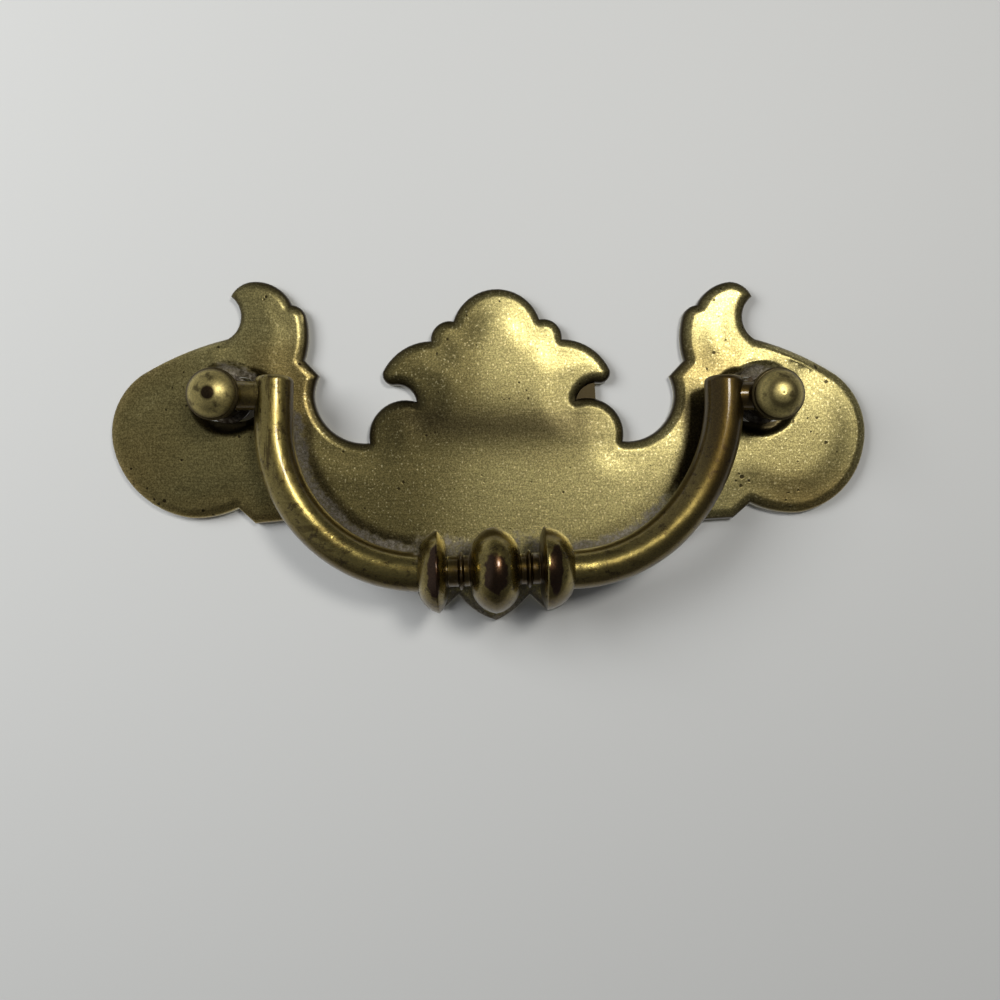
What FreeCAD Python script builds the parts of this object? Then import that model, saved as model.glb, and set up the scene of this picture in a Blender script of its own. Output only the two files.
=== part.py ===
import FreeCAD, Part
import math
import os

# A bail pull: a shaped back plate, two turned posts and a cast bail that swings between them.
# Millimetres. +Z is up on the drawer, -Y is towards the hand, and the plate's back lies on y = 0.
# The origin is midway between the posts, on the plate's back.

# Plate
post_spacing = 76.2
plate_thickness = 2.2
bevel_width = 1.1
bevel_overcut = 0.1
corner_sliver = 0.0001
dome_top = 15.9
dome_foot = 11.4
dome_half_width = 6.2
crown_shift = 0.3
crown_lean = 0.15
wing_shift = -0.45
wing_lean = 0.4
left_wing_stretch = 1.0
right_wing_stretch = 0.95
web_thickness = 0.9

# Seats of the posts in the plate
slot_half_width = 3.2
slot_half_travel = 1.6
dish_depth = 1.0
dish_radius = 5.3
dish_slope = 0.8
relief_radius = 4.3
relief_offset = 3.0

# Posts, with heights from the plate's face
stem_radius = 2.5
foot_radius = 3.5
foot_thickness = 0.5
barrel_radius = 3.15
ring_radius = 3.57
ring_height = 6.7
ring_thickness = 0.8
ring_chamfer = 0.2
groove_radius = 3.15
groove_width = 0.35
dome_radius = 3.3
dome_height = 1.7
screw_bore_radius = 1.73
screw_bore_length = 3.9
drill_point_angle = 118.0

# Bail
pin_height = 4.4
pin_radius = 2.0
pin_running_clearance = 0.06
pin_end_clearance = 0.3
pin_bore_past_axis = 0.9
rod_radius = 2.65
arm_rise = 2.65
arm_end_round = 0.8
left_side_gap = 1.48
right_side_gap = 0.33
left_arm_drop = 24.2
right_arm_drop = 23.8
left_arm_straight = 3.8
right_arm_straight = 0.0
bow_turn = 45.0
bow_foot = 10.0
bead_drop = 23.85
bead_tilt = 2.0
bead_radius = 5.9
bead_half_width = 3.45
neck_radius = 2.1
neck_ring_radius = 2.6
neck_ring_place = 4.6
neck_ring_width = 0.8
neck_ring_flat = 0.3
collar_radius = 5.65
collar_bulge = 0.72
collar_root_radius = 2.2
left_collar_inner_end = 6.4
left_collar_ridge = 7.7
left_collar_outer_end = 10.5
right_collar_inner_end = 6.1
right_collar_ridge = 6.8
right_collar_outer_end = 10.8
rest_clearance = 0.3

post_x = post_spacing / 2
outline_unit = post_spacing / 76.2
face_y = -plate_thickness
dish_floor_y = face_y + dish_depth
pin_y = face_y - pin_height
rod_reach = post_x - ring_radius - rod_radius
left_arm_reach = rod_reach - left_side_gap
right_arm_reach = rod_reach - right_side_gap


def vector(x, y, z):
    return FreeCAD.Vector(x, y, z)


def stretch(points):
    """A line through two points, or an arc through three."""
    if len(points) == 2:
        return Part.LineSegment(points[0], points[1]).toShape()
    return Part.Arc(points[0], points[1], points[2]).toShape()


def half_outline(side):
    """The plate's edge below the dome's arc, from the dome to the tip, on one side of the centre line."""
    wing_stretch = left_wing_stretch if side < 0 else right_wing_stretch

    def middle(x, z):
        return vector(side * x, 0, z) * outline_unit

    def crown(x, z):
        return middle(x, z) + vector(crown_shift, 0, side * crown_lean)

    def inner(x, z):
        return middle(x, z) + vector(side * post_x, 0, 0)

    def outer(x, z):
        return inner(x * wing_stretch, z) + vector(wing_shift, 0, 0)

    def lower(x, z):
        return inner(x, z) + vector(0, 0, side * wing_lean)

    dome_end = vector(side * dome_half_width + crown_shift, 0, dome_foot + side * crown_lean)
    lobe_end = crown(9.45, 8.55)
    hook_point = crown(16.35, 4.1)
    hook_under = crown(14.7, 2.2)
    notch_corner = crown(11.5, -0.2)
    recess_corner = crown(18.25, -6.15)
    recess_wall = inner(-12.15, 0.5)
    inner_cusp = inner(-12.85, 3.35)
    horn_foot = inner(-10.75, 5.6)
    horn_side = inner(-10.95, 11.95)
    horn_step = inner(-8.95, 13.6)
    horn_crest = outer(-4.0, 16.95)
    beak_tip = outer(-0.6, 14.8)
    beak_foot = outer(-0.2, 8.7)
    wing_top = outer(12.2, 3.5)
    wing_end = outer(16.2, -7.3)
    wing_bottom = lower(5.6, -16.7)
    wing_corner = lower(-1.3, -15.3)
    lower_cusp = lower(-3.75, -17.5)
    lobe_bottom = inner(-8.6, -17.4)
    skirt_end = middle(11.0, -26.9)
    foot_lobe_end = middle(7.3, -30.1)
    tip_corner = middle(5.1, -28.1)
    tip = vector(crown_shift, 0, -31.8 * outline_unit)

    return [
        (dome_end, crown(8.75, 10.55), lobe_end),
        (lobe_end, crown(13.6, 7.25), hook_point),
        (hook_point, crown(16.05, 2.75), hook_under),
        (hook_under, crown(12.75, 1.75), notch_corner),
        (notch_corner, crown(17.0, -1.7), recess_corner),
        (recess_corner, inner(-14.5, -4.4), recess_wall),
        (recess_wall, inner(-12.35, 2.0), inner_cusp),
        (inner_cusp, horn_foot),
        (horn_foot, inner(-11.3, 8.6), horn_side),
        (horn_side, inner(-10.3, 13.0), horn_step),
        (horn_step, inner(-6.5, 16.25), horn_crest),
        (horn_crest, outer(-2.0, 16.35), beak_tip),
        (beak_tip, outer(-2.05, 11.6), beak_foot),
        (beak_foot, outer(6.6, 6.4), wing_top),
        (wing_top, outer(16.1, -1.9), wing_end),
        (wing_end, outer(12.8, -13.3), wing_bottom),
        (wing_bottom, lower(2.4, -16.5), wing_corner),
        (wing_corner, lower_cusp),
        (lower_cusp, lobe_bottom),
        (lobe_bottom, middle(20.6, -23.4), skirt_end),
        (skirt_end, middle(9.4, -29.9), foot_lobe_end),
        (foot_lobe_end, tip_corner),
        (tip_corner, middle(2.4, -30.6), tip),
    ]


def outline_edges():
    """The whole edge of the plate on its back plane, stretch by stretch."""
    left = half_outline(-1)
    right = half_outline(1)
    dome = (left[0][0], vector(crown_shift, 0, dome_top), right[0][0])
    return [stretch(points) for points in [dome] + right + left]


def inward_at(edge, parameter):
    """The level direction square to an edge, to one side of it."""
    return edge.tangentAt(parameter).cross(vector(0, 1, 0)).normalize()


def bevel_wedge(edge, outline):
    """The wedge that takes off the front corner along one stretch of the edge."""
    middle = (edge.FirstParameter + edge.LastParameter) / 2
    start = edge.valueAt(edge.FirstParameter)
    inward = inward_at(edge, edge.FirstParameter)
    probe = edge.valueAt(middle) + inward_at(edge, middle) * bevel_overcut
    if not outline.isInside(probe, 1e-6, True):
        inward = inward * -1
    reach = bevel_width + bevel_overcut
    in_front = vector(0, face_y - bevel_overcut, 0)
    low = vector(0, face_y + bevel_width, 0)
    corners = [start + inward * reach + in_front, start + low, start + in_front]
    section = Part.Face(Part.makePolygon(corners + corners[:1]))
    if isinstance(edge.Curve, Part.Circle):
        turn = math.degrees(edge.LastParameter - edge.FirstParameter)
        return section.revolve(edge.Curve.Center, edge.Curve.Axis, turn)
    return section.extrude(edge.valueAt(edge.LastParameter) - start)


def corner_cone(point, outline):
    """The cone that carries the bevel round an inner corner, with its seam turned off the metal."""
    reach = bevel_width + bevel_overcut
    cone = Part.makeCone(reach, 0, reach, point + vector(0, face_y - bevel_overcut, 0), vector(0, 1, 0))
    seam = vector(0, 0, 1)
    turn = 0
    while turn < 360 and outline.isInside(point + seam * bevel_overcut, 1e-6, True):
        turn += 45
        seam = FreeCAD.Rotation(vector(0, 1, 0), turn).multVec(vector(0, 0, 1))
    cone.rotate(point, vector(0, 1, 0), turn)
    return cone


def bevelled_plate():
    """The cast blank, with its front corner bevelled all the way round."""
    edges = outline_edges()
    outline = Part.Face(Part.Wire(Part.__sortEdges__(edges)))
    blank = outline.extrude(vector(0, face_y, 0))
    for edge in edges:
        blank = blank.cut(bevel_wedge(edge, outline))
    for corner in outline.Vertexes:
        cone = corner_cone(corner.Point, outline)
        if blank.common(cone).Volume > corner_sliver:
            blank = blank.cut(cone)
    return blank


def cone_cut(x, radius, depth, slope):
    """A round dish that opens at the plate's face, narrower at its floor."""
    start = vector(x, face_y, 0)
    return Part.makeCone(radius, radius - slope, depth, start, vector(0, 1, 0))


def slot_cut(x):
    """The through slot that a post stands in, long enough to take up an inexact boring."""
    height = 2 * slot_half_width
    length = 2 * slot_half_travel
    bar = Part.makeBox(length, plate_thickness, height,
                       vector(x - slot_half_travel, face_y, -slot_half_width))
    ends = [Part.makeCylinder(slot_half_width, plate_thickness, vector(end, face_y, 0), vector(0, 1, 0))
            for end in (x - slot_half_travel, x + slot_half_travel)]
    return bar.fuse(ends)


def notch_web():
    """The thin casting web that was never cleaned out of the right-hand notch."""
    corners = [(11.2, -0.2), (14.6, -0.3), (14.45, 2.55), (11.2, 2.2)]
    points = [vector(x, 0, z) * outline_unit for x, z in corners]
    face = Part.Face(Part.makePolygon(points + points[:1]))
    return face.extrude(vector(0, -web_thickness, 0))


def back_plate():
    plate = bevelled_plate()
    for side in (1, -1):
        x = side * post_x
        plate = plate.cut(cone_cut(x, dish_radius, dish_depth, dish_slope))
        plate = plate.cut(cone_cut(x - side * relief_offset, relief_radius, dish_depth, dish_slope))
        plate = plate.cut(slot_cut(x))
    return plate.fuse(notch_web()).removeSplitter()


def turned(profile):
    """A solid of revolution about the Y axis from (radius, y) points and arcs between them."""
    edges = [stretch([vector(r, y, 0) for r, y in points]) for points in profile]
    face = Part.Face(Part.Wire(edges))
    return face.revolve(vector(0, 0, 0), vector(0, 1, 0), 360)


def post_body():
    """The turned post on the Y axis: stem, foot, flared barrel, ring, groove and domed head."""
    foot_top = dish_floor_y - foot_thickness
    ring_low = face_y - ring_height
    ring_top = ring_low - ring_thickness
    groove_top = ring_top - groove_width
    apex = groove_top - dome_height
    ring_edge = ring_radius - ring_chamfer
    head_sphere = (dome_radius ** 2 + dome_height ** 2) / (2 * dome_height)
    half_arc = math.asin(dome_radius / head_sphere) / 2
    head_middle = (head_sphere * math.sin(half_arc), apex + head_sphere * (1 - math.cos(half_arc)))
    profile = [
        ((0, 0), (stem_radius, 0)),
        ((stem_radius, 0), (stem_radius, dish_floor_y)),
        ((stem_radius, dish_floor_y), (foot_radius, dish_floor_y)),
        ((foot_radius, dish_floor_y), (foot_radius, foot_top)),
        ((foot_radius, foot_top), (stem_radius, foot_top)),
        ((stem_radius, foot_top), (barrel_radius - 0.15, face_y - pin_height / 2), (barrel_radius, pin_y)),
        ((barrel_radius, pin_y), (ring_edge, ring_low)),
        ((ring_edge, ring_low), (ring_radius, ring_low - ring_chamfer)),
        ((ring_radius, ring_low - ring_chamfer), (ring_radius, ring_top + ring_chamfer)),
        ((ring_radius, ring_top + ring_chamfer), (ring_edge, ring_top)),
        ((ring_edge, ring_top), (groove_radius, ring_top)),
        ((groove_radius, ring_top), (groove_radius, groove_top)),
        ((groove_radius, groove_top), (dome_radius, groove_top)),
        ((dome_radius, groove_top), head_middle, (0, apex)),
        ((0, apex), (0, 0)),
    ]
    return turned(profile)


def post(side):
    """A post at its place, with its screw bore behind and its bore for the bail's pin on the inner side."""
    point_length = screw_bore_radius / math.tan(math.radians(drill_point_angle / 2))
    screw_bore = Part.makeCylinder(screw_bore_radius, screw_bore_length, vector(0, 0, 0), vector(0, -1, 0))
    drill_point = Part.makeCone(screw_bore_radius, 0, point_length,
                                vector(0, -screw_bore_length, 0), vector(0, -1, 0))
    pin_bore = Part.makeCylinder(pin_radius + pin_running_clearance, ring_radius + pin_bore_past_axis,
                                 vector(side * pin_bore_past_axis, pin_y, 0), vector(-side, 0, 0))
    body = post_body().cut([screw_bore, drill_point, pin_bore])
    body.translate(vector(side * post_x, 0, 0))
    return body


def bow_edges(side, reach, drop, straight):
    """The path of one arm in the bail's own plane: squared top, two arcs that meet smoothly, collar."""
    turn = math.radians(bow_turn)
    across = reach - bow_foot
    down = drop - straight
    shared = 1 - math.cos(turn) - math.sin(turn)
    upper_radius = (across * (1 - math.sin(turn)) - down * math.cos(turn)) / shared
    lower_radius = (down * (1 - math.cos(turn)) - across * math.sin(turn)) / shared

    def at(x, z):
        return vector(side * x, 0, z)

    def upper(angle):
        return at(reach - upper_radius * (1 - math.cos(angle)), -straight - upper_radius * math.sin(angle))

    def lower(angle):
        return at(bow_foot + lower_radius * math.cos(angle), -drop + lower_radius * (1 - math.sin(angle)))

    quarter = math.pi / 2
    path = [
        (at(reach, arm_rise), upper(0)),
        (upper(0), upper(turn / 2), upper(turn)),
        (upper(turn), lower((turn + quarter) / 2), lower(quarter)),
        (lower(quarter), at(right_collar_ridge, -drop)),
    ]
    return [stretch(points) for points in path]


def arm(side, reach, drop, straight):
    """One arm of round rod with its squared and eased top."""
    wire = Part.Wire(bow_edges(side, reach, drop, straight))
    section = Part.Wire(Part.makeCircle(rod_radius, vector(side * reach, 0, arm_rise), vector(0, 0, 1)))
    rod = wire.makePipeShell([section], True, True)
    top = edges_near_height(rod, arm_rise)
    return rod.makeFillet(arm_end_round, top)


def edges_near_height(solid, z):
    """The edges of a solid that lie in the level plane at z."""
    found = []
    for edge in solid.Edges:
        box = edge.BoundBox
        if abs(box.ZMin - z) < 1e-3 and abs(box.ZMax - z) < 1e-3:
            found.append(edge)
    return found


def middle_profile(inner_end, ridge, outer_end):
    """One half of the turned middle, as (distance from the bead, radius) points: bead, neck ring, collar."""
    ring_start = neck_ring_place - neck_ring_width / 2
    ring_end = neck_ring_place + neck_ring_width / 2
    flat_start = neck_ring_place - neck_ring_flat / 2
    flat_end = neck_ring_place + neck_ring_flat / 2
    inner_middle = inner_end + (ridge - inner_end) * (1 - collar_bulge)
    outer_middle = ridge + (outer_end - ridge) * collar_bulge
    return [
        ((0, bead_radius), (bead_half_width * 0.72, bead_radius * 0.76), (bead_half_width, neck_radius)),
        ((bead_half_width, neck_radius), (ring_start, neck_radius)),
        ((ring_start, neck_radius), (flat_start, neck_ring_radius)),
        ((flat_start, neck_ring_radius), (flat_end, neck_ring_radius)),
        ((flat_end, neck_ring_radius), (ring_end, neck_radius)),
        ((ring_end, neck_radius), (inner_end, neck_radius)),
        ((inner_end, neck_radius), (inner_middle, collar_radius * 0.75), (ridge, collar_radius)),
        ((ridge, collar_radius), (outer_middle, collar_radius * 0.76), (outer_end, collar_root_radius)),
        ((outer_end, collar_root_radius), (outer_end, 0)),
    ]


def turned_middle():
    """The bead between its two collars, turned about the X axis."""
    halves = (
        (-1, middle_profile(left_collar_inner_end, left_collar_ridge, left_collar_outer_end)),
        (1, middle_profile(right_collar_inner_end, right_collar_ridge, right_collar_outer_end)),
    )
    edges = [stretch((vector(-left_collar_outer_end, 0, 0), vector(right_collar_outer_end, 0, 0)))]
    for side, profile in halves:
        edges += [stretch([vector(side * u, 0, r) for u, r in points]) for points in profile]
    face = Part.Face(Part.Wire(Part.__sortEdges__(edges)))
    solid = face.revolve(vector(0, 0, 0), vector(1, 0, 0), 360)
    solid.rotate(vector(0, 0, 0), vector(0, -1, 0), bead_tilt)
    solid.translate(vector(0, 0, -bead_drop))
    return solid


def pin(side, reach):
    """The pin that stands out of an arm into its post."""
    end = post_x + pin_bore_past_axis - pin_end_clearance
    return Part.makeCylinder(pin_radius, end - reach, vector(side * reach, 0, 0), vector(side, 0, 0))


def rest_angle():
    """How far the hanging bail leans out, so that its bead clears the plate's face."""
    return math.degrees(math.asin((bead_radius + rest_clearance - pin_height) / bead_drop))


def bail():
    """The bail in one piece, hanging from its pins with the bead against the plate."""
    arms = (
        (-1, left_arm_reach, left_arm_drop, left_arm_straight),
        (1, right_arm_reach, right_arm_drop, right_arm_straight),
    )
    shape = turned_middle()
    for side, reach, drop, straight in arms:
        shape = shape.fuse([arm(side, reach, drop, straight), pin(side, reach)])
    shape = shape.removeSplitter()
    shape.rotate(vector(0, 0, 0), vector(-1, 0, 0), rest_angle())
    shape.translate(vector(0, pin_y, 0))
    return shape


def export(name, shape):
    solids = shape.Solids
    print(name, "solids", len(solids), "valid", shape.isValid(), "volume %.1f" % shape.Volume)
    Part.makeCompound(solids).exportStep("parts/%s.step" % name)


os.makedirs("parts", exist_ok=True)
export("back_plate", back_plate())
export("post_left", post(-1))
export("post_right", post(1))
export("bail", bail())
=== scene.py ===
import math

import bmesh
import bpy
from bpy.props import FloatProperty, FloatVectorProperty, PointerProperty
from mathutils import Matrix, Vector
from mathutils.kdtree import KDTree


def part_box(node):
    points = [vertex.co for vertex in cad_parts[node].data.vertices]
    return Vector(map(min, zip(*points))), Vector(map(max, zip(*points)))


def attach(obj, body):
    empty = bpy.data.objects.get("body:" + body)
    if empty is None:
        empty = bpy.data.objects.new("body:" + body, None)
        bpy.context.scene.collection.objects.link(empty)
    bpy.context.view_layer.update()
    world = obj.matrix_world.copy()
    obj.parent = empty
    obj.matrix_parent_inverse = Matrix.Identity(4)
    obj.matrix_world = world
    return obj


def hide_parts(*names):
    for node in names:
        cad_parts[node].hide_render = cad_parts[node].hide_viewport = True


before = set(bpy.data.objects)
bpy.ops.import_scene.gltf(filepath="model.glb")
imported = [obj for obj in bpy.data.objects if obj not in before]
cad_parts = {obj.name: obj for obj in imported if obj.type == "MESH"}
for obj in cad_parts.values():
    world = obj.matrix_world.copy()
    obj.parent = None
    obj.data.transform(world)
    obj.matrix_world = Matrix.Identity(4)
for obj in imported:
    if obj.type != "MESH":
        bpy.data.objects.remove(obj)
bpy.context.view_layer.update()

bl_info = {
    "name": "Bail pull",
    "version": (1, 0, 0),
    "blender": (4, 5, 0),
    "location": "View3D > Sidebar > Bail pull",
    "description": "Builds a period-style brass bail pull with its finishes, light and camera",
    "category": "Object",
}

MM = 0.001

# The solids' own sizes that the dressed pieces follow, in millimetres

POST_X = 38.1
BEVEL = 1.1
BEAD_DROP = 23.85
BEAD_LEAN = 1.8
PIN_RADIUS = 2
PIN_END = 38.7
ARM_RISE = 2.65
ARM_END_ROUND = 0.8
ARM_FOOT = 10.0
INSIDE_COLLAR = 7.5
# Each arm's side, reach, drop and straight part
ARMS = ((-1, 30.4, 24.2, 3.8), (1, 31.55, 23.8, 0.0))
# The turned middle as (distance from the bead, radius)
BEAD = [(0, 5.88), (0.89, 5.65), (1.69, 5.21), (2.38, 4.6), (2.92, 3.85), (3.28, 3.01),
        (3.45, 2.1), (4.2, 2.1), (4.45, 2.6), (4.75, 2.6), (5.0, 2.1)]
LEFT_COLLAR = [(6.4, 2.1), (6.41, 2.88), (6.56, 3.64), (6.82, 4.37), (7.21, 5.05), (7.7, 5.65),
               (8.43, 5.36), (9.1, 4.93), (9.65, 4.37), (10.08, 3.71), (10.37, 2.98),
               (10.5, 2.2), (10.45, 0)]
RIGHT_COLLAR = [(6.1, 2.1), (6.1, 2.83), (6.16, 3.56), (6.31, 4.28), (6.52, 4.98), (6.8, 5.65),
                (7.73, 5.48), (8.6, 5.12), (9.37, 4.59), (10.01, 3.9), (10.5, 3.09),
                (10.8, 2.2), (10.75, 0)]

# Where wear and painted reflections sit, in millimetres

# Small groups of pits in the plate's face, as (x, z)
PITTED = ((45.8, -2.8), (47.6, -7.6), (35.9, -12.2), (-52.4, -10.6), (-51.4, -12.2),
          (-50.2, -13.8), (-48.6, -15.4))
# Ovals of painted dark reflection on bead and collars, as (x, z, half width, half height)
PAINTED_REFLECTIONS = ((0.05, -23.8, 1.6, 2.5), (-8.1, -23.9, 0.8, 3.2), (7.9, -23.2, 0.9, 3.0))

# Fixed colours of small marks, with a painted glint and painted shade among them

# Painted glint: bright specks in the grain standing in for sparkles of light
PAINTED_GLINT = (0.9, 0.8, 0.45, 1)
PIT_BROWN = (0.03, 0.02, 0.01, 1)
# Tarnish, and the posts' painted shade and painted reflection
POST_TARNISH_AND_SHADE = (0.045, 0.03, 0.016, 1)
WORN_BROWN = (0.05, 0.03, 0.012, 1)
DEEP_DUST = (0.05, 0.042, 0.03, 1)

BUMP_REACH = 0.02 * MM
WELD = 1e-7


# Sizes and colours that a user would change

class PlateSettings(bpy.types.PropertyGroup):
    grid: FloatProperty(name="Grid", description="Spacing of the face's mesh",
                        default=0.8 * MM, unit="LENGTH")
    soft_rim: FloatProperty(name="Soft rim", description="Rounding between the face and its bevel",
                            default=0.4 * MM, unit="LENGTH")
    soft_wall: FloatProperty(name="Soft wall", description="Rounding between bevel and wall",
                             default=0.35 * MM, unit="LENGTH")
    pillow: FloatProperty(name="Pillow", description="How far the face falls towards its edge",
                          default=0.3 * MM, unit="LENGTH")
    pillow_width: FloatProperty(name="Pillow width", description="Width of the fall at the edge",
                                default=4.2 * MM, unit="LENGTH")
    brass: FloatVectorProperty(name="Brass", description="Colour of the ground face",
                               subtype="COLOR", default=(0.48, 0.41, 0.17))
    # Olive patina; the same colour also paints shade on the plate's left side and at the lower
    # right
    patina_and_shade: FloatVectorProperty(name="Patina", description="Colour of the olive patina",
                                subtype="COLOR", default=(0.2, 0.16, 0.058))
    tarnish_and_shade: FloatVectorProperty(name="Tarnish", description="Colour of the brown tarnish",
                                 subtype="COLOR", default=(0.3, 0.19, 0.055))
    # Painted shade: a dark band over the middle, the right rod's shadow and the post heads' shadows
    # in the dishes
    shade: FloatVectorProperty(name="Painted shade",
                               description="Nearly black film in the middle and the hollows",
                               subtype="COLOR", default=(0.055, 0.043, 0.02))
    rim: FloatVectorProperty(name="Rim", description="Colour of the dark bevel and wall",
                             subtype="COLOR", default=(0.05, 0.038, 0.019))
    dust: FloatVectorProperty(name="Dust", description="Colour of the dust in the corners",
                              subtype="COLOR", default=(0.23, 0.2, 0.15))


class PostSettings(bpy.types.PropertyGroup):
    edge: FloatProperty(name="Edge", description="Rounding of the turned edges",
                        default=0.1 * MM, unit="LENGTH")
    brass: FloatVectorProperty(name="Brass", description="Colour of the posts", subtype="COLOR",
                               default=(0.56, 0.46, 0.18))


class BailSettings(bpy.types.PropertyGroup):
    pin_height: FloatProperty(name="Pin height", description="Pin's axis above the plate's back",
                              default=6.6 * MM, unit="LENGTH")
    rest_angle: FloatProperty(name="Rest angle", description="Lean of the hanging bail",
                              subtype="ANGLE", default=math.asin(BEAD_LEAN / BEAD_DROP))
    rod_radius: FloatProperty(name="Rod", description="Radius of the rod", default=2.65 * MM,
                              unit="LENGTH")
    bead_tilt: FloatProperty(name="Bead tilt", description="Tilt of the bead's axis",
                             subtype="ANGLE", default=math.radians(2))
    edge: FloatProperty(name="Edge", description="Rounding of the turned edges",
                        default=0.25 * MM, unit="LENGTH")
    brass: FloatVectorProperty(name="Brass", description="Colour of the bail", subtype="COLOR",
                               default=(0.38, 0.3, 0.095))
    # Tarnish of the bail; it also paints shade on faces that look down or inward, on the right arm
    # and on the pins
    tarnish_and_shade: FloatVectorProperty(name="Tarnish", description="Brown tarnish of the bail",
                                 subtype="COLOR", default=(0.075, 0.046, 0.01))
    # Painted dark reflection on the front of the bead and collars
    painted_reflection: FloatVectorProperty(name="Painted reflection",
                                 description="Dark red-brown left on the turned middle",
                                 subtype="COLOR", default=(0.05, 0.022, 0.012))


class StageSettings(bpy.types.PropertyGroup):
    backdrop: FloatVectorProperty(name="Backdrop", description="Colour of the backdrop",
                                  subtype="COLOR", default=(0.56, 0.56, 0.545))
    lamp: FloatProperty(name="Lamp", description="Power of the main lamp", default=0.64,
                        unit="POWER")
    fill: FloatProperty(name="Fill", description="Power of the broad soft light", default=1.6,
                        unit="POWER")
    world: FloatProperty(name="World", description="Strength of the surrounding light",
                         default=0.7)


# Shader helpers

def add(tree, kind, inputs=None, **settings):
    """Adds a shader node. An input is a socket to link or a plain value."""
    made = tree.nodes.new(kind)
    for name, value in settings.items():
        setattr(made, name, value)
    for name, value in (inputs or {}).items():
        if isinstance(value, bpy.types.NodeSocket):
            tree.links.new(value, made.inputs[name])
        else:
            made.inputs[name].default_value = value
    return made


def calc(tree, operation, *values):
    """One Math node."""
    return add(tree, "ShaderNodeMath", dict(enumerate(values)), operation=operation).outputs[0]


def fade(tree, value, low, high, start=0.0, end=1.0):
    """Maps a value from low..high to start..end with soft ends."""
    inputs = {"Value": value, 1: low, 2: high, 3: start, 4: end}
    return add(tree, "ShaderNodeMapRange", inputs, interpolation_type="SMOOTHSTEP").outputs[0]


def mix(tree, factor, first, second):
    """A colour between two colours."""
    return add(tree, "ShaderNodeMix", {0: factor, 6: first, 7: second}, data_type="RGBA").outputs[2]


def noise(tree, vector, scale, detail=2.0, roughness=0.5):
    """A soft noise between 0 and 1."""
    inputs = {"Vector": vector, "Scale": scale, "Detail": detail, "Roughness": roughness}
    return add(tree, "ShaderNodeTexNoise", inputs).outputs["Fac"]


def drawn_out(tree, vector, factors):
    """Coordinates scaled along each axis, so that a noise on them is drawn out."""
    return add(tree, "ShaderNodeVectorMath", {0: vector, 1: factors},
               operation="MULTIPLY").outputs[0]


def grained(tree, colour, grain, low, high):
    """A colour made darker and lighter by the grain."""
    amount = fade(tree, grain, 0.0, 1.0, low, high)
    return add(tree, "ShaderNodeVectorMath", {0: colour, "Scale": amount},
               operation="SCALE").outputs[0]


def attribute(tree, name):
    """A value painted on the mesh."""
    return add(tree, "ShaderNodeAttribute", attribute_name=name).outputs["Fac"]


def rgba(colour):
    """A colour with full alpha."""
    return (*colour, 1.0)


def new_group(name, ins, outs):
    """An empty shader group with named sockets: each is (name, kind)."""
    group = bpy.data.node_groups.new(name, "ShaderNodeTree")
    for label, kind in ins:
        group.interface.new_socket(label, in_out="INPUT", socket_type="NodeSocket" + kind)
    for label, kind in outs:
        group.interface.new_socket(label, in_out="OUTPUT", socket_type="NodeSocket" + kind)
    source = group.nodes.new("NodeGroupInput")
    target = group.nodes.new("NodeGroupOutput")
    return group, source.outputs, target.inputs


def place_group(tree, group, inputs):
    """Places a shader group in a material and gives its outputs."""
    return add(tree, "ShaderNodeGroup", inputs, node_tree=group).outputs


# Finishes

def grain_group():
    """Fine grain of ground brass: a height and masks of pits, soft mottle, grain and spots for
    painted glints.
    """
    group, given, out = new_group(
        "Brass grain", [("Vector", "Vector"), ("Pits", "Float")],
        [("Height", "Float"), ("Pits", "Float"), ("Mottle", "Float"), ("Grain", "Float"),
         ("Glints", "Float")])
    place = given["Vector"]
    fine = noise(group, place, 7500, 2, 0.6)
    medium = noise(group, place, 3600, 3, 0.6)
    both = calc(group, "MULTIPLY_ADD", medium, 0.5, calc(group, "MULTIPLY", fine, 0.5))
    cells = add(group, "ShaderNodeTexVoronoi", {"Vector": place, "Scale": 900.0})
    size = fade(group, noise(group, place, 260, 2, 0.7), 0.48, 0.7, 0.05, 0.27)
    size = calc(group, "MULTIPLY_ADD", given["Pits"], 0.3, size)
    pits = fade(group, calc(group, "SUBTRACT", size, cells.outputs["Distance"]), 0.0, 0.1)
    height = calc(group, "MULTIPLY_ADD", medium, 0.8, fine)
    glints = fade(group, noise(group, place, 3600, 0, 0.5), 0.71, 0.77)
    group.links.new(calc(group, "MULTIPLY_ADD", pits, -2.0, height), out["Height"])
    group.links.new(pits, out["Pits"])
    group.links.new(noise(group, place, 85, 4, 0.62), out["Mottle"])
    group.links.new(fade(group, both, 0.38, 0.62), out["Grain"])
    group.links.new(glints, out["Glints"])
    return group


def dust_group():
    """Dust over a metal: where the mask is 1 the surface is dull and grey."""
    group, given, out = new_group(
        "Dust", [("Color", "Color"), ("Roughness", "Float"), ("Dust", "Color"),
                 ("Mask", "Float"), ("Vector", "Vector")],
        [("Color", "Color"), ("Roughness", "Float"), ("Metallic", "Float")])
    speckle = noise(group, given["Vector"], 2600, 4, 0.8)
    clumps = noise(group, given["Vector"], 700, 3, 0.65)
    ragged = calc(group, "MULTIPLY_ADD", clumps, 1.5, -0.75)
    mask = fade(group, calc(group, "ADD", given["Mask"], ragged), 0.2, 0.8)
    mask = calc(group, "MULTIPLY", mask, fade(group, given["Mask"], 0.0, 0.15))
    mask = calc(group, "MULTIPLY", mask, fade(group, speckle, 0.3, 0.55, 0.45, 1.0))
    shade = mix(group, fade(group, speckle, 0.35, 0.65), DEEP_DUST, given["Dust"])
    group.links.new(mix(group, mask, given["Color"], shade), out["Color"])
    rough = add(group, "ShaderNodeMix", {0: mask, 2: given["Roughness"], 3: 0.95})
    group.links.new(rough.outputs[0], out["Roughness"])
    group.links.new(calc(group, "SUBTRACT", 1.0, mask), out["Metallic"])
    return group


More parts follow.
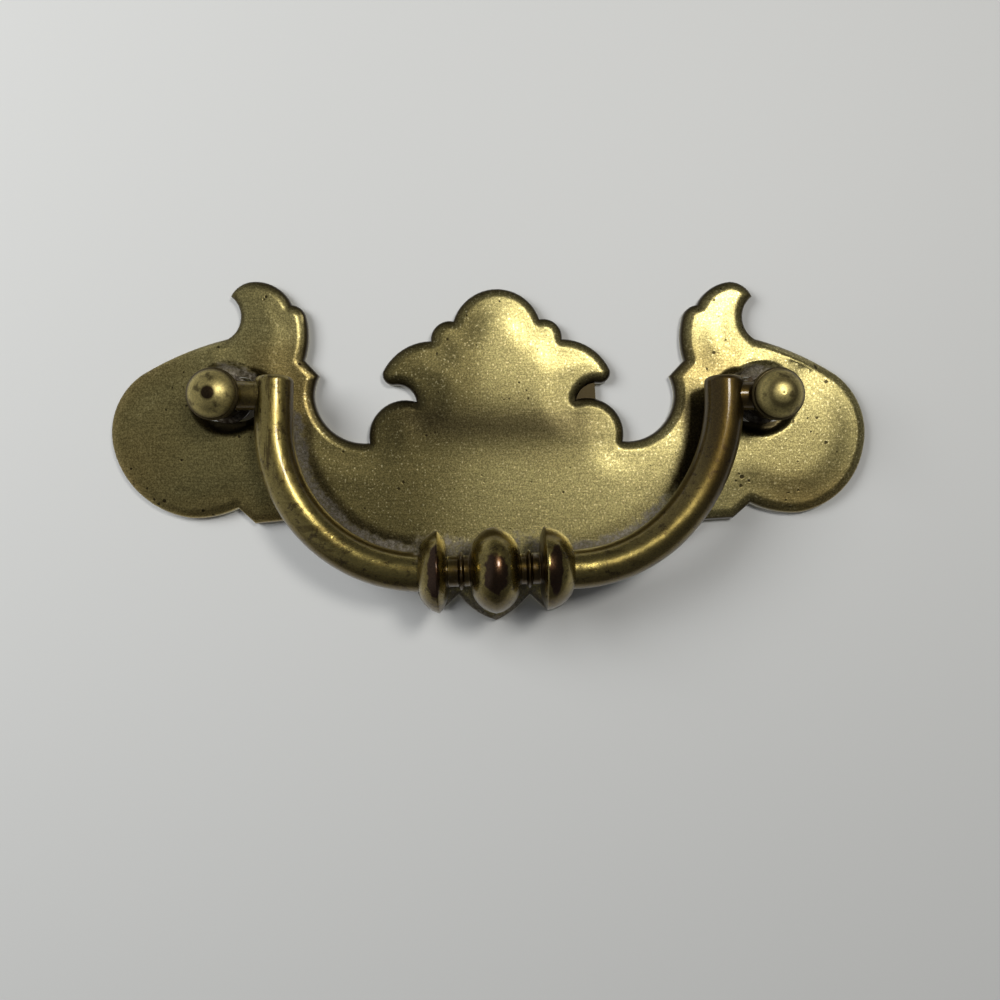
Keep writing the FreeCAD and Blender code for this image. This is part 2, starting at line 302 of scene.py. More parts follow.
def metal(name, diffuse_view):
    """A new material with only its Principled shader, and the object coordinates."""
    material = bpy.data.materials.new(name)
    material.use_nodes = True
    material.diffuse_color = rgba(diffuse_view)
    tree = material.node_tree
    shader = tree.nodes["Principled BSDF"]
    place = add(tree, "ShaderNodeTexCoord").outputs["Object"]
    return material, tree, shader, place


def finish_metal(tree, shader, place, dust_layer, colour, roughness, dust, height, bump):
    """Dust on top of the painted metal, and the bump that goes with it."""
    dusted = place_group(tree, dust_layer, {
        "Color": colour, "Roughness": roughness, "Dust": rgba(dust),
        "Mask": attribute(tree, "dust"), "Vector": place})
    tree.links.new(dusted["Color"], shader.inputs["Base Color"])
    tree.links.new(dusted["Roughness"], shader.inputs["Roughness"])
    tree.links.new(dusted["Metallic"], shader.inputs["Metallic"])
    relief = add(tree, "ShaderNodeBump",
                 {"Strength": bump, "Distance": BUMP_REACH, "Height": height})
    tree.links.new(relief.outputs[0], shader.inputs["Normal"])


def plate_finish(settings, groups):
    """Satin brass with patina, tarnish, painted shade, painted glints and pits, and a dark rim."""
    material, tree, shader, place = metal("aged_plate_brass", settings.brass)
    grain = place_group(tree, groups["grain"], {"Vector": place, "Pits": attribute(tree, "pitted")})
    axes = add(tree, "ShaderNodeSeparateXYZ", {0: place}).outputs
    mottle = fade(tree, grain["Mottle"], 0.35, 0.75)
    patina_and_shade = calc(tree, "MULTIPLY", mottle, 0.25)
    # Patina, and painted shade on the left side, the crown's left half and the lower right
    patina_and_shade = calc(tree, "MAXIMUM", patina_and_shade, attribute(tree, "patina_and_shade"))
    colour = mix(tree, patina_and_shade, rgba(settings.brass), rgba(settings.patina_and_shade))
    # Painted glints: bright specks, fewer towards the left
    few_at_left = fade(tree, axes["X"], -40 * MM, -18 * MM, 0.15, 0.6)
    glints = calc(tree, "MULTIPLY", grain["Glints"], few_at_left)
    colour = mix(tree, glints, colour, PAINTED_GLINT)
    ragged = fade(tree, grain["Mottle"], 0.3, 0.6, 0.6, 1.0)
    ragged = calc(tree, "MULTIPLY", attribute(tree, "tarnish_and_shade"), ragged)
    colour = mix(tree, ragged, colour, rgba(settings.tarnish_and_shade))
    # Painted shade over the patina and tarnish
    colour = mix(tree, attribute(tree, "shade"), colour, rgba(settings.shade))
    colour = grained(tree, colour, grain["Grain"], 0.62, 1.32)
    brushed = noise(tree, drawn_out(tree, place, (0.05, 1, 1)), 4500, 2, 0.5)
    colour = grained(tree, colour, brushed, 0.75, 1.25)
    rim = fade(tree, axes["Y"], -1.95 * MM, -1.2 * MM)
    rim = calc(tree, "MULTIPLY", rim, attribute(tree, "rim"))
    colour = mix(tree, rim, colour, rgba(settings.rim))
    colour = mix(tree, calc(tree, "MULTIPLY", grain["Pits"], 0.85), colour, PIT_BROWN)
    rough = calc(tree, "MULTIPLY_ADD", mottle, 0.04, 0.375)
    finish_metal(tree, shader, place, groups["dust"], colour, rough, settings.dust,
                 grain["Height"], 0.5)


def post_finish(settings, plate, groups):
    """Brass of the posts with dark blotches, and the tarnish, painted shade and painted reflection
    of the posts' paint.
    """
    material, tree, shader, place = metal("aged_post_brass", settings.brass)
    grain = place_group(tree, groups["grain"], {"Vector": place, "Pits": -0.3})
    mottle = fade(tree, grain["Mottle"], 0.4, 0.65)
    blotch = fade(tree, noise(tree, place, 520, 3, 0.6), 0.5, 0.66, 0.0, 0.7)
    # The painted attribute brings tarnish, painted shade under the heads and the heads' painted
    # marks
    tarnish_and_shade = calc(tree, "MAXIMUM", attribute(tree, "tarnish_and_shade"), blotch)
    colour = mix(tree, tarnish_and_shade, rgba(settings.brass), POST_TARNISH_AND_SHADE)
    colour = grained(tree, colour, grain["Grain"], 0.8, 1.15)
    rough = calc(tree, "MULTIPLY_ADD", mottle, 0.1, 0.4)
    finish_metal(tree, shader, place, groups["dust"], colour, rough, plate.dust,
                 grain["Height"], 0.3)


def painted_reflection_oval(tree, axes, x, z, half_width, half_height, ragged):
    """An oval mask for a painted reflection on the front of the bail's middle, in millimetres, with
    a ragged edge.
    """
    across = calc(tree, "MULTIPLY_ADD", axes["X"], 1 / (half_width * MM), -x / half_width)
    up = calc(tree, "MULTIPLY_ADD", axes["Z"], 1 / (half_height * MM), -z / half_height)
    reach = calc(tree, "ADD", calc(tree, "POWER", across, 2), calc(tree, "POWER", up, 2))
    reach = calc(tree, "MULTIPLY_ADD", ragged, 2.0, reach)
    front = fade(tree, axes["Y"], -6 * MM, -8 * MM, 0.0, 0.95)
    return calc(tree, "MULTIPLY", fade(tree, reach, 2.25, 1.75), front)


def bail_finish(settings, plate, groups):
    """Handled brass of the bail: streaks along the rod, worn marks, tarnish with painted shade, and
    painted dark reflections on the bead and collars.
    """
    material, tree, shader, place = metal("aged_bail_brass", settings.brass)
    grain = place_group(tree, groups["grain"], {"Vector": place, "Pits": 0.0})
    axes = add(tree, "ShaderNodeSeparateXYZ", {0: place}).outputs
    mottle = fade(tree, grain["Mottle"], 0.42, 0.7)
    upright = noise(tree, drawn_out(tree, place, (1, 1, 0.12)), 1300, 3, 0.6)
    upright = calc(tree, "MULTIPLY", fade(tree, upright, 0.48, 0.62, 0.0, 0.75),
                   fade(tree, axes["Z"], -17 * MM, -9 * MM))
    level = noise(tree, drawn_out(tree, place, (0.16, 1, 1)), 1100, 3, 0.6)
    level = calc(tree, "MULTIPLY", fade(tree, level, 0.5, 0.62, 0.0, 0.6),
                 fade(tree, axes["Z"], -10 * MM, -18 * MM))
    streak = calc(tree, "MAXIMUM", upright, level)
    tarnish_and_shade = calc(tree, "MULTIPLY", mottle, 0.6)
    # The painted attribute brings tarnish and painted shade
    tarnish_and_shade = calc(tree, "MAXIMUM", tarnish_and_shade, attribute(tree, "tarnish_and_shade"))
    tarnish_and_shade = calc(tree, "MAXIMUM", tarnish_and_shade, streak)
    colour = mix(tree, tarnish_and_shade, rgba(settings.brass), rgba(settings.tarnish_and_shade))
    worn = fade(tree, noise(tree, place, 700, 5, 0.75), 0.545, 0.63)
    colour = mix(tree, calc(tree, "MULTIPLY", worn, 0.7), colour, WORN_BROWN)
    ragged = noise(tree, place, 600, 2, 0.6)
    # Painted dark reflections on the front of the bead and collars
    for x, z, half_width, half_height in PAINTED_REFLECTIONS:
        oval = painted_reflection_oval(tree, axes, x, z, half_width, half_height, ragged)
        colour = mix(tree, oval, colour, rgba(settings.painted_reflection))
    colour = grained(tree, colour, grain["Grain"], 0.8, 1.15)
    polished = fade(tree, axes["Z"], -10 * MM, -19 * MM, 0.36, 0.25)
    rough = calc(tree, "MULTIPLY_ADD", tarnish_and_shade, 0.1, polished)
    wavy = noise(tree, place, 380, 2, 0.5)
    height = calc(tree, "MULTIPLY_ADD", wavy, 9.0, grain["Height"])
    finish_metal(tree, shader, place, groups["dust"], colour, rough, plate.dust, height, 0.4)
    shader.inputs["Coat Weight"].default_value = 0.45
    shader.inputs["Coat Roughness"].default_value = 0.1


# Mesh helpers

def rise(value, low, high):
    """0 below low, 1 above high, and soft between."""
    share = min(max((value - low) / (high - low), 0.0), 1.0)
    return share * share * (3 - 2 * share)


def fall(value, low, high):
    """1 below low, 0 above high, and soft between."""
    return 1 - rise(value, low, high)


def nearest_of(points):
    """A search tree that finds the nearest of some points."""
    tree = KDTree(len(points))
    for index, point in enumerate(points):
        tree.insert(point, index)
    tree.balance()
    return tree


def mesh_from_node(name):
    """A merged copy of a CAD node's mesh."""
    work = bmesh.new()
    work.from_mesh(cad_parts[name].data)
    bmesh.ops.remove_doubles(work, verts=work.verts, dist=WELD)
    return work


def float_layer(work, name):
    """A value for each vertex, which the finishes read by its name."""
    return work.verts.layers.float.new(name)


def material_named(name):
    """The finish of that name, made by the finishes operator."""
    found = bpy.data.materials.get(name)
    if found is None:
        raise RuntimeError("make the finishes first: " + name)
    return found


def piece_from(work, name, material, node_name, body, smooth_angle):
    """Makes the finished object of a bmesh, parents it to its body and hides the CAD node it stands
    for.
    """
    work.normal_update()
    for face in work.faces:
        face.smooth = True
    for edge in work.edges:
        edge.smooth = edge.calc_face_angle(0) < math.radians(smooth_angle)
    mesh = bpy.data.meshes.new(name)
    work.to_mesh(mesh)
    work.free()
    mesh.materials.append(material)
    piece = bpy.data.objects.new(name, mesh)
    bpy.context.scene.collection.objects.link(piece)
    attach(piece, body)
    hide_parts(node_name)
    return piece


def ease_edges(piece, width, segments, angle):
    """Rounds the sharp edges with modifiers and evens the shading over the faces."""
    edge = piece.modifiers.new("Soft edge", "BEVEL")
    edge.width = width
    edge.segments = segments
    edge.limit_method = "ANGLE"
    edge.angle_limit = math.radians(angle)
    even = piece.modifiers.new("Even normals", "WEIGHTED_NORMAL")
    even.keep_sharp = True


def bends(reach, drop, straight):
    """The two bends of an arm in its own plane: centre, radius, first and last angle."""
    turn = math.radians(45)
    across = reach - ARM_FOOT
    down = drop - straight
    shared = 1 - math.cos(turn) - math.sin(turn)
    upper = (across * (1 - math.sin(turn)) - down * math.cos(turn)) / shared
    lower = (down * (1 - math.cos(turn)) - across * math.sin(turn)) / shared
    return [((reach - upper, -straight), upper, 0, turn),
            ((ARM_FOOT, lower - drop), lower, turn, math.pi / 2)]


def bail_line():
    """Points along the bail's rod as it hangs, seen from the front."""
    points = []
    for side, reach, drop, straight in ARMS:
        for (cx, cz), radius, start, end in bends(reach, drop, straight):
            for step in range(13):
                angle = start + (end - start) * step / 12
                x = cx + radius * math.cos(angle)
                z = cz - radius * math.sin(angle)
                points.append(Vector((side * x * MM, 0, z * MM)))
    return points


def post_places(y):
    """The two posts' axes at a depth."""
    return Vector((-POST_X * MM, y, 0)), Vector((POST_X * MM, y, 0))


# Operators

class PULL_OT_finishes(bpy.types.Operator):
    """Makes the three brass finishes"""
    bl_idname = "pull.finishes"
    bl_label = "Finishes"

    def execute(self, context):
        scene = context.scene
        groups = {"grain": grain_group(), "dust": dust_group()}
        plate_finish(scene.pull_plate, groups)
        post_finish(scene.pull_post, scene.pull_plate, groups)
        bail_finish(scene.pull_bail, scene.pull_plate, groups)
        return {"FINISHED"}


class PULL_OT_plate(bpy.types.Operator):
    """Dresses the back plate: a finer face that falls to its edge, with its dust, tarnish and
    painted shade
    """
    bl_idname = "pull.plate"
    bl_label = "Back plate"

    def execute(self, context):
        settings = context.scene.pull_plate
        low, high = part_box("back_plate")
        work = mesh_from_node("back_plate")
        bmesh.ops.dissolve_limit(work, angle_limit=math.radians(0.5), verts=work.verts,
                                 edges=work.edges)
        self.soften(work, settings, low.y)
        self.divide(work, settings, low, high)
        self.pillow(work, settings, low.y)
        self.paint(work)
        piece = piece_from(work, "plate_casting", material_named("aged_plate_brass"),
                           "back_plate", "plate", 60)
        return {"FINISHED"}

    def soften(self, work, settings, face):
        """Rounds the edges where the face meets its bevel and the bevel meets the wall."""
        least_fold = 0.4
        for width, steps, height in ((settings.soft_rim, 4, face),
                                     (settings.soft_wall, 3, face + BEVEL * MM)):
            edges = [e for e in work.edges if all(abs(v.co.y - height) < 1e-5 for v in e.verts)
                     and e.calc_face_angle(0) > least_fold]
            bmesh.ops.bevel(work, geom=edges, offset=width, segments=steps, profile=0.5,
                            affect="EDGES", material=-1)

    def divide(self, work, settings, low, high):
        """Cuts the flat front face into a fine grid."""
        for axis in (0, 2):
            place = low[axis] + settings.grid
            while place < high[axis]:
                point = Vector((0, 0, 0))
                point[axis] = place
                normal = Vector((0, 0, 0))
                normal[axis] = 1
                flat = [f for f in work.faces if f.normal.y < -0.9999]
                edges = {e for f in flat for e in f.edges}
                verts = {v for e in edges for v in e.verts}
                bmesh.ops.bisect_plane(work, geom=list(verts) + list(edges) + flat, dist=1e-6,
                                       plane_co=point, plane_no=normal)
                place += settings.grid

    def pillow(self, work, settings, face):
        """Lets the front face fall softly towards the bevel, but not at the dishes."""
        posts = post_places(face)
        dish_reach = 7.7 * MM
        rim = [v.co.copy() for v in work.verts
               if abs(v.co.y - face) < 1e-6 and any(f.normal.y > -0.9999 for f in v.link_faces)
               and min((v.co - p).length for p in posts) > dish_reach]
        tree = nearest_of(rim)
        flat_spot = Vector((24 * MM, face, -9 * MM))
        for vertex in work.verts:
            distance = tree.find(Vector((vertex.co.x, face, vertex.co.z)))[2]
            depth = vertex.co.y - face
            flatter = 0.85 * math.exp(-((vertex.co - flat_spot).length / (8 * MM)) ** 2)
            drop = settings.pillow * (1 - flatter)
            if depth < 1e-6:
                vertex.co.y += drop * fall(distance, 0, settings.pillow_width)
            elif distance < settings.soft_rim * 3:
                vertex.co.y += drop * fall(depth, 0, BEVEL * MM)

    def paint(self, work):
        """Paints dust, patina with painted shade, tarnish, painted shade, rim and pits; the back
        keeps plain patina.
        """
        names = ("dust", "patina_and_shade", "tarnish_and_shade", "shade", "rim", "pitted")
        dust, patina_and_shade, tarnish_and_shade, shade, rim, pitted = (float_layer(work, name) for name in names)
        rod = nearest_of(bail_line())
        heart = Vector((0, 0, -8 * MM))
        posts = post_places(0)
        for vertex in work.verts:
            flat = Vector((vertex.co.x, 0, vertex.co.z))
            x, y, z = vertex.co / MM
            if y > -0.2:
                vertex[patina_and_shade] = 0.3
                vertex[rim] = 0.3
                continue
            near, _, beside = rod.find(flat)
            inside = (flat - heart).length < (near - heart).length
            inward = beside / MM if inside else -beside / MM
            post = min((flat - p).length for p in posts) / MM
            dish = fall(post, 4.6, 6.0)
            low_left = rise(-x, 18, 26) * rise(-z, 6, 11)
            hollow = fall(abs(abs(x) - 30.5), 3.5, 6.5) * fall(abs(z - 2), 4.0, 8.0)
            # Beside the right arm, where the rod's painted shadow goes and dust is left out
            right_rod_shade = rise(x, 16, 22) * rise(z, -16, -11)
            vertex[dust] = self.dust(x, z, inward, dish, right_rod_shade)
            vertex[patina_and_shade] = max(self.patina_and_shade(x, z), 0.4 * hollow)
            vertex[tarnish_and_shade] = max(self.tarnish_and_shade(x, y, z, low_left), 0.3 * hollow)
            vertex[shade] = self.painted_shade(x, y, z, inward, dish, right_rod_shade)
            vertex[rim] = (1 - 0.7 * rise(x, 34, 46)) * (1 - 0.85 * rise(-x, 34, 46))
            vertex[rim] *= 1 - 0.8 * low_left
            group = min(math.hypot(x - place, z - up) for place, up in PITTED)
            vertex[pitted] = 0.6 * fall(group, 0.8, 2.2)

    def dust(self, x, z, inward, dish, right_rod_shade):
        """Dust under the rod, in the upper half of the dishes and behind the bead."""
        under = fall(abs(inward - 0.4), 2.3, 3.3) * fall(z, -3.0, 1.0)
        pocket = 0.6 * fall(abs(x), 9, 13.5) * fall(z, -20.6, -18.0)
        return max(0.8 * under * (1 - right_rod_shade), 0.6 * dish * rise(z, -1, 4), pocket)

    def patina_and_shade(self, x, z):
        """Olive patina with painted shade: deep on the left and the crown's left half, light at the
        lower right.
        """
        # Patina with painted shade: the left side and the crown's left half darker, and the right
        # wing's lower part
        left = 0.75 * rise(-x, -2, 12) * (1 - 0.4 * rise(-x, 26, 38))
        left *= 1 - rise(-x, 20, 26) * rise(z, 3, 8)
        crown = 0.65 * rise(-x, -0.5, 4) * fall(-x, 16, 18) * rise(z, -4, 0)
        right = 0.35 * rise(x, 26, 40) * rise(-z, -2, 6)
        return max(left, crown, right)

    def tarnish_and_shade(self, x, y, z, low_left):
        """Brown tarnish: along the left edges, at the lower right and amber on the left wing."""
        edge = fall(-y, 1.7, 2.15)
        low_right = rise(x, 32, 44) * rise(-z, 7, 15)
        amber = 0.32 * rise(-x, 41, 52) * rise(-z, -2, 9)
        return max(0.35 * edge * rise(-x, 40, 50), 0.5 * low_left * edge, 0.5 * low_right, amber)

    def painted_shade(self, x, y, z, inward, dish, right_rod_shade):
        """Painted shade: a band over the middle, the right rod's painted shadow, darker on the web,
        a dark line partly grime and partly painted shadow, and the post heads' painted shadow in
        the dishes.
        """
        # Painted shade: a dark band across the middle
        band = math.exp(-((z + 4.0 - 0.006 * (x - 3) ** 2) / 4.4) ** 2) * fall(abs(x), 9, 25)
        # Painted shadow of the right rod on the plate
        rod_shadow = right_rod_shade * rise(inward, 0, 1.5) * fall(inward, 4.2 + 0.15 * z, 6.0 + 0.2 * z)
        rod_shadow *= fall(z, -1, 2)
        # Darker on the web at the back of the notch
        web = fall(abs(x - 15.5), 2, 2.6) * fall(abs(z - 0.5), 3, 3.6) * rise(y, -2, -1)
        # A thin dark line inside the rod, partly grime and partly painted shadow
        grime_and_shadow = fall(abs(inward - 3.6), 0.4, 1.3) * fall(z, -5, -1)
        grime_and_shadow *= 0.35 + 0.5 * rise(-x, -6, 6)
        # Painted shadow of the post heads in the lower half of the dishes
        return max(0.9 * band, 0.95 * rod_shadow, web, grime_and_shadow, 0.9 * dish * fall(z, -1, 4))


class PULL_OT_posts(bpy.types.Operator):
    """Dresses the two turned posts with softened edges"""
    bl_idname = "pull.posts"
    bl_label = "Posts"

    def execute(self, context):
        settings = context.scene.pull_post
        for name, piece_name, side in (("post_left", "turned_post_left", -1),
                                       ("post_right", "turned_post_right", 1)):
            work = mesh_from_node(name)
            self.paint(work, side)
            piece = piece_from(work, piece_name, material_named("aged_post_brass"), name,
                               "plate", 35)
            ease_edges(piece, settings.edge, 2, 35)
        return {"FINISHED"}

    def paint(self, work, side):
        """Dust at the foot, painted shade on the shaft under the head, a darker outer ring, and the
        mark on each head: a painted dark reflection on the left, a painted shade ring round a dent
        on the right.
        """
        dust = float_layer(work, "dust")
        tarnish_and_shade = float_layer(work, "tarnish_and_shade")
        for vertex in work.verts:
            radius = math.hypot(vertex.co.x / MM - side * POST_X, vertex.co.z / MM)
            height = -vertex.co.y / MM
            vertex[dust] = 0.5 * fall(height, 2.6, 4.6)
            # Painted shade on the shaft under the head
            shaft = fall(height, 8.6, 9.0)
            outer_ring = rise(radius, 2.9, 3.2)
            # Left head: a painted dark reflection at its centre; right head: a painted shade ring
            # round a dent
            if side < 0:
                mark = fall(radius, 0.8, 1.1)
            else:
                mark = 0.6 * rise(radius, 1.2, 1.5) * fall(radius, 1.9, 2.3)
            vertex[tarnish_and_shade] = max(shaft, 0.9 * outer_ring, mark)


class PULL_OT_bail(bpy.types.Operator):
    """Makes the bail: two bent arms with their pins, and the turned middle"""
    bl_idname = "pull.bail"
    bl_label = "Bail"

    def execute(self, context):
        settings = context.scene.pull_bail
        work = bmesh.new()
        for side, reach, drop, straight in ARMS:
            self.arm(work, side, reach, drop, straight, settings)
            self.pin(work, side, reach)
        self.middle(work, settings)
        bmesh.ops.recalc_face_normals(work, faces=work.faces)
        work.normal_update()
        self.paint(work)
        turn = Matrix.Rotation(-settings.rest_angle, 4, "X")
        seat = Matrix.Translation((0, -settings.pin_height, 0))
        bmesh.ops.transform(work, matrix=seat @ turn, verts=work.verts)
        piece = piece_from(work, "bail_casting", material_named("aged_bail_brass"), "bail",
                           "bail", 50)
        ease_edges(piece, settings.edge, 3, 40)
        return {"FINISHED"}

    def arm(self, work, side, reach, drop, straight, settings):
        """Sweeps the rod's circle down the arm and round its two bends to the collar."""
        ring = bmesh.ops.create_circle(work, cap_ends=True, segments=48,
                                       radius=settings.rod_radius)["verts"]
        bmesh.ops.translate(work, vec=(side * reach * MM, 0, ARM_RISE * MM), verts=ring)
        rim = [e for e in work.edges if e.is_boundary]
        made = bmesh.ops.extrude_edge_only(work, edges=rim)["geom"]
        verts = [v for v in made if isinstance(v, bmesh.types.BMVert)]
        bmesh.ops.translate(work, vec=(0, 0, -(ARM_RISE + straight) * MM), verts=verts)
        bmesh.ops.bevel(work, geom=rim, offset=ARM_END_ROUND * MM, segments=5, profile=0.5,
                        affect="EDGES", material=-1)
        loop = [e for e in made if isinstance(e, bmesh.types.BMEdge)]
        for (cx, cz), radius, start, end in bends(reach, drop, straight):
            swept = bmesh.ops.spin(work, geom=loop, cent=(side * cx * MM, 0, cz * MM),
                                   axis=(0, side, 0), angle=end - start, steps=22)["geom_last"]
            loop = [e for e in swept if isinstance(e, bmesh.types.BMEdge)]
        made = bmesh.ops.extrude_edge_only(work, edges=loop)["geom"]
        verts = [v for v in made if isinstance(v, bmesh.types.BMVert)]
        inward = verts[0].co.x
        bmesh.ops.translate(work, vec=(side * INSIDE_COLLAR * MM - inward, 0, 0), verts=verts)
        bmesh.ops.contextual_create(work, geom=[e for e in made
                                                if isinstance(e, bmesh.types.BMEdge)])

    def pin(self, work, side, reach):
        """The round pin from the arm into the post."""
        length = PIN_END - reach
        turn = Matrix.Rotation(math.pi / 2, 4, "Y")
        place = Matrix.Translation((side * (reach + length / 2) * MM, 0, 0))
        bmesh.ops.create_cone(work, cap_ends=True, segments=40, radius1=PIN_RADIUS * MM,
                              radius2=PIN_RADIUS * MM, depth=length * MM, matrix=place @ turn)

    def middle(self, work, settings):
        """Spins the profile of bead, neck rings and collars about the bail's middle."""
        left = [(-x, r) for x, r in reversed(BEAD[1:] + LEFT_COLLAR)]
        profile = left + BEAD + RIGHT_COLLAR
        verts = [work.verts.new((x * MM, 0, r * MM)) for x, r in profile]
        edges = [work.edges.new(pair) for pair in zip(verts, verts[1:])]
        bmesh.ops.spin(work, geom=verts + edges, cent=(0, 0, 0), axis=(1, 0, 0),
                       angle=2 * math.pi, steps=64, use_merge=True)
        reached = {v for v in verts if v.is_valid}
        grown = set(reached)
        while grown:
            grown = {e.other_vert(v) for v in grown for e in v.link_edges} - reached
            reached |= grown
        tilt = Matrix.Rotation(-settings.bead_tilt, 4, "Y")
        place = Matrix.Translation((0, 0, -BEAD_DROP * MM))
        bmesh.ops.transform(work, matrix=place @ tilt, verts=list(reached))
        bmesh.ops.remove_doubles(work, verts=list(reached), dist=WELD)

    def paint(self, work):
        """Dust and tarnish where no hand or cloth reaches, and painted shade on faces that look
        down or inward, on the right arm and on the pins; by place and by the way a face looks.
        """
        dust = float_layer(work, "dust")
        tarnish_and_shade = float_layer(work, "tarnish_and_shade")
        heart = Vector((0, 0, -6 * MM))
        for vertex in work.verts:
            x, y, z = vertex.co / MM
            normal = vertex.normal
            between = fall(abs(x), 10.5, 12)
            # Painted shade on faces that look down
            below = rise(-normal.z, 0.1, 0.7) * rise(-z, 4, 12)
            # Painted shade on faces that look inward
            inside = rise(normal.dot((heart - vertex.co).normalized()), 0.45, 0.8)
            # The pins: dust and tarnish, and painted shadow
            pin = rise(abs(x), 33.6, 34.4)
            neck = fall(abs(abs(x) - 4.9), 1.4, 1.8) if z < -18 else 0
            turned = between * rise(abs(z + BEAD_DROP), 3.2, 5.2) if z < -16 else 0
            top = between * rise(normal.z, 0.2, 0.9) * rise(y, -4, 0)
            # The right arm: tarnish and painted shade
            right = 0.6 * rise(x, 12, 26) + 0.35 * rise(x, 26, 30)
            vertex[dust] = max(0.35 * rise(y, 0.8, 2.4), 0.15 * neck, 0.6 * top, 0.2 * pin)
            vertex[tarnish_and_shade] = max(0.85 * rise(y, -1.2, 1.2), neck, right, 0.8 * below,
                                  0.85 * turned, 0.9 * inside if abs(x) > 9 else 0, pin)


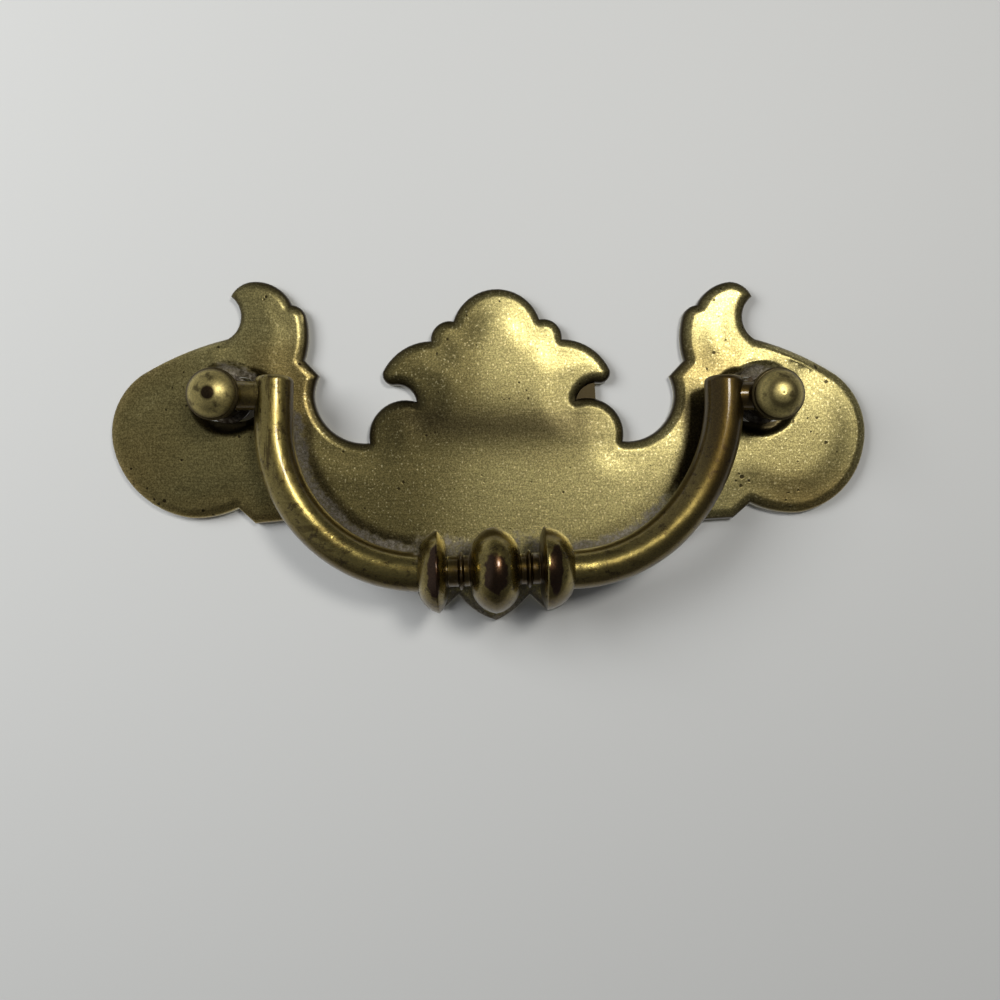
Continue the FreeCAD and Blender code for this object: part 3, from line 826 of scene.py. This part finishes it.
class PULL_OT_stage(bpy.types.Operator):
    """Makes the backdrop that the pull lies against, the light and the camera"""
    bl_idname = "pull.stage"
    bl_label = "Stage"

    def execute(self, context):
        settings = context.scene.pull_stage
        self.sheet("backdrop", (-0.6, 0.0002, -0.3), (1.2, 0, 0), (0, 0, 0.9),
                   self.pale(settings))
        self.lamp("window", (0.128, -0.35, 0.122), 0.08, settings.lamp, (1, 0.985, 0.95))
        fill = self.lamp("fill", (-0.3, -0.26, 0.12), 0.22, settings.fill, (0.97, 0.985, 1))
        fill.visible_glossy = False
        self.world(context, settings)
        self.camera(context)
        return {"FINISHED"}

    def pale(self, settings):
        """A plain pale surface that is clear from behind and to the light at the pull's back."""
        material = bpy.data.materials.new("pale_stage")
        material.use_nodes = True
        tree = material.node_tree
        shader = tree.nodes["Principled BSDF"]
        shader.inputs["Base Color"].default_value = rgba(settings.backdrop)
        shader.inputs["Roughness"].default_value = 0.6
        behind = add(tree, "ShaderNodeNewGeometry").outputs["Backfacing"]
        path = add(tree, "ShaderNodeLightPath").outputs
        near = calc(tree, "LESS_THAN", path["Ray Length"], 4 * MM)
        unseen = calc(tree, "SUBTRACT", 1.0, path["Is Camera Ray"])
        hidden = calc(tree, "MAXIMUM", behind, calc(tree, "MULTIPLY", near, unseen))
        clear = add(tree, "ShaderNodeBsdfTransparent").outputs[0]
        blend = add(tree, "ShaderNodeMixShader", {0: hidden, 1: shader.outputs[0], 2: clear})
        tree.links.new(blend.outputs[0], tree.nodes["Material Output"].inputs["Surface"])
        return material

    def sheet(self, name, corner, across, up, material):
        """A flat stage sheet from its corner and two sides."""
        work = bmesh.new()
        made = bmesh.ops.create_grid(work, x_segments=1, y_segments=1, size=0.5)["verts"]
        corner, across, up = Vector(corner), Vector(across), Vector(up)
        for vertex in made:
            vertex.co = corner + across * (vertex.co.x + 0.5) + up * (vertex.co.y + 0.5)
        mesh = bpy.data.meshes.new(name)
        work.to_mesh(mesh)
        work.free()
        mesh.materials.append(material)
        made = bpy.data.objects.new(name, mesh)
        bpy.context.scene.collection.objects.link(made)

    def lamp(self, name, place, size, power, colour):
        """A square lamp that looks at the pull and isn't seen itself."""
        light = bpy.data.lights.new(name, "AREA")
        light.shape = "RECTANGLE"
        light.size = light.size_y = size
        light.energy = power
        light.color = colour
        lamp = bpy.data.objects.new(name, light)
        lamp.location = place
        lamp.rotation_mode = "QUATERNION"
        lamp.rotation_quaternion = (-Vector(place)).to_track_quat("-Z", "Y")
        lamp.visible_camera = False
        bpy.context.scene.collection.objects.link(lamp)
        return lamp

    def world(self, context, settings):
        """A dim room in front, paler at its left and behind, and pale where it is seen directly."""
        world = bpy.data.worlds.new("studio")
        world.use_nodes = True
        tree = world.node_tree
        shade = tree.nodes["Background"]
        ray = add(tree, "ShaderNodeTexCoord").outputs["Generated"]
        left = add(tree, "ShaderNodeVectorMath", {0: ray, 1: (-0.92, -0.34, 0.2)},
                   operation="DOT_PRODUCT").outputs["Value"]
        back = add(tree, "ShaderNodeVectorMath", {0: ray, 1: (0.0, 1.0, 0.0)},
                   operation="DOT_PRODUCT").outputs["Value"]
        sides = fade(tree, left, 0.4, 0.9, settings.world * 0.12, settings.world * 0.5)
        behind = fade(tree, back, 0.0, 0.5, 0.0, settings.world)
        around = calc(tree, "MAXIMUM", sides, behind)
        seen = add(tree, "ShaderNodeLightPath").outputs["Is Camera Ray"]
        level = add(tree, "ShaderNodeMix", {0: seen, 2: around, 3: 0.85}).outputs[0]
        shade.inputs["Color"].default_value = (0.95, 0.97, 1, 1)
        tree.links.new(level, shade.inputs["Strength"])
        context.scene.world = world

    def camera(self, context):
        """The camera, straight in front of the plate, with its lens shifted to frame the pull."""
        data = bpy.data.cameras.new("camera")
        data.lens = 32.4
        data.sensor_width = 36
        data.clip_start = 0.001
        data.shift_x = 0.021
        data.shift_y = -0.022
        camera = bpy.data.objects.new("camera", data)
        camera.location = (-2.2 * MM, -130.5 * MM, -11.33 * MM)
        camera.rotation_euler = (math.radians(90), 0, 0)
        context.scene.collection.objects.link(camera)
        context.scene.camera = camera
        context.scene.view_settings.view_transform = "Standard"


class PULL_PT_panel(bpy.types.Panel):
    """Lists the steps that build the pull"""
    bl_idname = "PULL_PT_panel"
    bl_label = "Bail pull"
    bl_space_type = "VIEW_3D"
    bl_region_type = "UI"
    bl_category = "Bail pull"

    def draw(self, context):
        layout = self.layout
        for name in STEPS:
            layout.operator("pull." + name)
        for group in SETTINGS:
            settings = getattr(context.scene, group)
            box = layout.box()
            for key in settings.__annotations__:
                box.prop(settings, key)


STEPS = ("finishes", "plate", "posts", "bail", "stage")
SETTINGS = {"pull_plate": PlateSettings, "pull_post": PostSettings, "pull_bail": BailSettings,
            "pull_stage": StageSettings}
CLASSES = (*SETTINGS.values(), PULL_OT_finishes, PULL_OT_plate, PULL_OT_posts, PULL_OT_bail,
           PULL_OT_stage, PULL_PT_panel)


def register():
    for item in CLASSES:
        bpy.utils.register_class(item)
    for name, group in SETTINGS.items():
        setattr(bpy.types.Scene, name, PointerProperty(type=group))


def unregister():
    for name in SETTINGS:
        delattr(bpy.types.Scene, name)
    for item in reversed(CLASSES):
        bpy.utils.unregister_class(item)


def main():
    """Builds the whole pull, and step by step."""
    register()
    for name in STEPS:
        getattr(bpy.ops.pull, name)()


if __name__ == "__main__":
    main()
